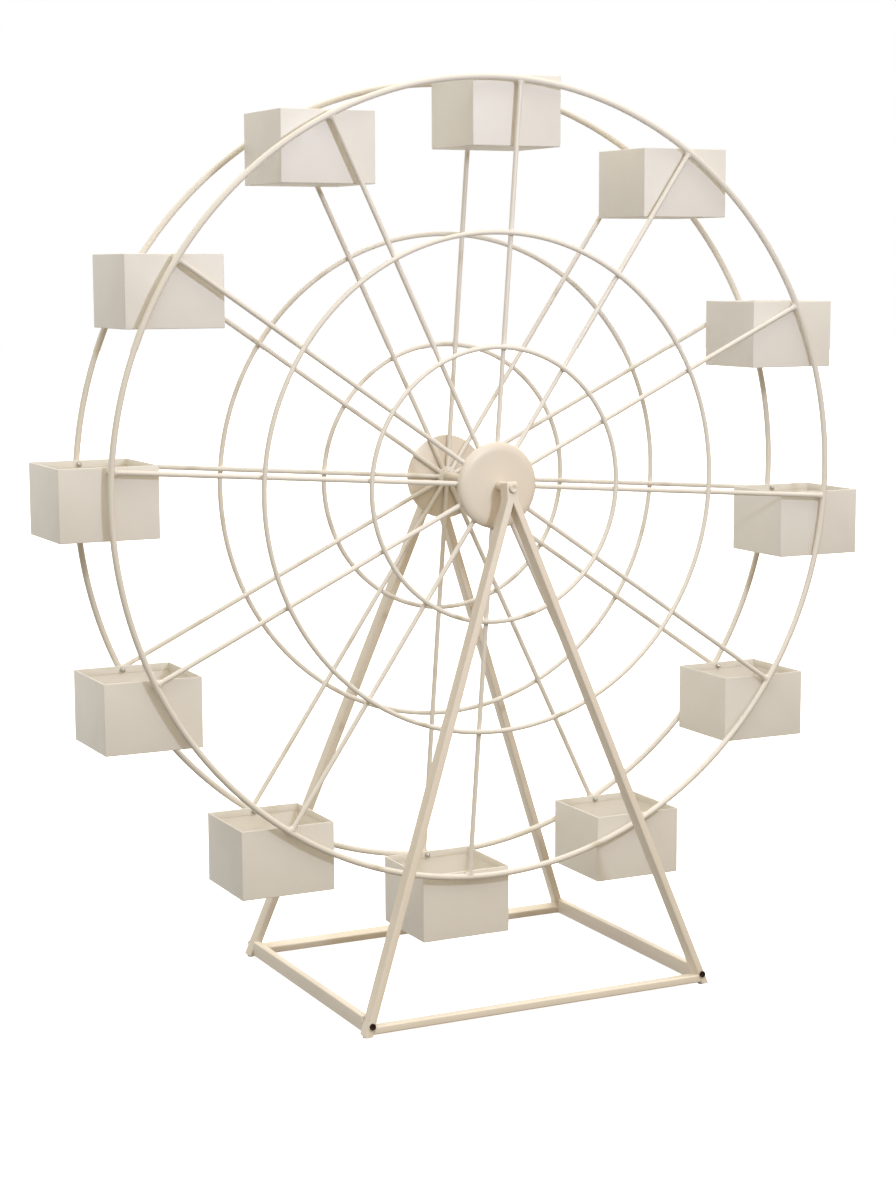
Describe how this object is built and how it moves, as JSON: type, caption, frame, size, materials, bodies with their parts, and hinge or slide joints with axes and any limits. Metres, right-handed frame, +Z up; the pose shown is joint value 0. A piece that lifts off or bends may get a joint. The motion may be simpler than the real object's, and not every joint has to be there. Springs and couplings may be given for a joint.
{
  "type": "ferris wheel display stand",
  "caption": "Free-standing painted metal display stand shaped as a ferris wheel: twin rims on an A-frame stand, hung with open boxes that stay level as it turns.",
  "frame": {"origin": "on the floor under the middle of the wheel, at the centre of the overall box's base", "axes": "+Z up, wheel axle along Y, -Y towards the front with the axle bolt's head, +X to the right as seen from the front"},
  "size_m": [1.4336, 0.5098, 1.4693],
  "materials": {
    "cream_paint": "satin cream powder coat",
    "cream_sheet_paint": "satin cream powder coat on folded sheet",
    "black_screw": "black oxide",
    "black_foot": "matte"
  },
  "bodies": {
    "stand": {"front_left_leg": "cream_paint", "front_right_leg": "cream_paint", "front_base_bar": "cream_paint", "back_left_leg": "cream_paint", "back_right_leg": "cream_paint", "back_base_bar": "cream_paint", "left_base_bar": "cream_paint", "right_base_bar": "cream_paint", "front_axle_sleeve": "cream_paint", "back_axle_sleeve": "cream_paint", "axle_bolt": "cream_paint", "axle_nut": "cream_paint", "front_left_bolt": "black_screw", "front_right_bolt": "black_screw", "back_left_bolt": "black_screw", "back_right_bolt": "black_screw", "front_left_foot": "black_foot", "front_right_foot": "black_foot", "back_left_foot": "black_foot", "back_right_foot": "black_foot"},
    "wheel": {"front_rim": "cream_paint", "back_rim": "cream_paint", "front_spokes": "cream_paint", "back_spokes": "cream_paint", "front_middle_ring": "cream_paint", "front_inner_ring": "cream_paint", "back_middle_ring": "cream_paint", "back_inner_ring": "cream_paint", "front_hub_disc": "cream_paint", "back_hub_disc": "cream_paint", "hub_tube": "cream_paint"},
    "box_01": {"box_01": "cream_sheet_paint"},
    "box_02": {"box_02": "cream_sheet_paint"},
    "box_03": {"box_03": "cream_sheet_paint"},
    "box_04": {"box_04": "cream_sheet_paint"},
    "box_05": {"box_05": "cream_sheet_paint"},
    "box_06": {"box_06": "cream_sheet_paint"},
    "box_07": {"box_07": "cream_sheet_paint"},
    "box_08": {"box_08": "cream_sheet_paint"},
    "box_09": {"box_09": "cream_sheet_paint"},
    "box_10": {"box_10": "cream_sheet_paint"},
    "box_11": {"box_11": "cream_sheet_paint"},
    "box_12": {"box_12": "cream_sheet_paint"}
  },
  "joints": [
    {"name": "wheel_spin", "type": "hinge", "parent": "stand", "child": "wheel", "pos_m": [0, 0, 0.824], "axis": [0, 1, 0], "continuous": true},
    {"name": "box_01_swing", "type": "hinge", "parent": "wheel", "child": "box_01", "pos_m": [0.04643, 0, 1.46231], "axis": [0, 1, 0], "continuous": true},
    {"name": "box_02_swing", "type": "hinge", "parent": "wheel", "child": "box_02", "pos_m": [0.35936, 0, 1.35358], "axis": [0, 1, 0], "continuous": true},
    {"name": "box_03_swing", "type": "hinge", "parent": "wheel", "child": "box_03", "pos_m": [0.57601, 0, 1.10295], "axis": [0, 1, 0], "continuous": true},
    {"name": "box_04_swing", "type": "hinge", "parent": "wheel", "child": "box_04", "pos_m": [0.63831, 0, 0.77757], "axis": [0, 1, 0], "continuous": true},
    {"name": "box_05_swing", "type": "hinge", "parent": "wheel", "child": "box_05", "pos_m": [0.52958, 0, 0.46464], "axis": [0, 1, 0], "continuous": true},
    {"name": "box_06_swing", "type": "hinge", "parent": "wheel", "child": "box_06", "pos_m": [0.27895, 0, 0.24799], "axis": [0, 1, 0], "continuous": true},
    {"name": "box_07_swing", "type": "hinge", "parent": "wheel", "child": "box_07", "pos_m": [-0.04643, 0, 0.18569], "axis": [0, 1, 0], "continuous": true},
    {"name": "box_08_swing", "type": "hinge", "parent": "wheel", "child": "box_08", "pos_m": [-0.35936, 0, 0.29442], "axis": [0, 1, 0], "continuous": true},
    {"name": "box_09_swing", "type": "hinge", "parent": "wheel", "child": "box_09", "pos_m": [-0.57601, 0, 0.54505], "axis": [0, 1, 0], "continuous": true},
    {"name": "box_10_swing", "type": "hinge", "parent": "wheel", "child": "box_10", "pos_m": [-0.63831, 0, 0.87043], "axis": [0, 1, 0], "continuous": true},
    {"name": "box_11_swing", "type": "hinge", "parent": "wheel", "child": "box_11", "pos_m": [-0.52958, 0, 1.18336], "axis": [0, 1, 0], "continuous": true},
    {"name": "box_12_swing", "type": "hinge", "parent": "wheel", "child": "box_12", "pos_m": [-0.27895, 0, 1.40001], "axis": [0, 1, 0], "continuous": true}
  ],
  "couplings": [
    {"joint": "box_01_swing", "follows": "wheel_spin", "ratio": -1},
    {"joint": "box_02_swing", "follows": "wheel_spin", "ratio": -1},
    {"joint": "box_03_swing", "follows": "wheel_spin", "ratio": -1},
    {"joint": "box_04_swing", "follows": "wheel_spin", "ratio": -1},
    {"joint": "box_05_swing", "follows": "wheel_spin", "ratio": -1},
    {"joint": "box_06_swing", "follows": "wheel_spin", "ratio": -1},
    {"joint": "box_07_swing", "follows": "wheel_spin", "ratio": -1},
    {"joint": "box_08_swing", "follows": "wheel_spin", "ratio": -1},
    {"joint": "box_09_swing", "follows": "wheel_spin", "ratio": -1},
    {"joint": "box_10_swing", "follows": "wheel_spin", "ratio": -1},
    {"joint": "box_11_swing", "follows": "wheel_spin", "ratio": -1},
    {"joint": "box_12_swing", "follows": "wheel_spin", "ratio": -1}
  ]
}
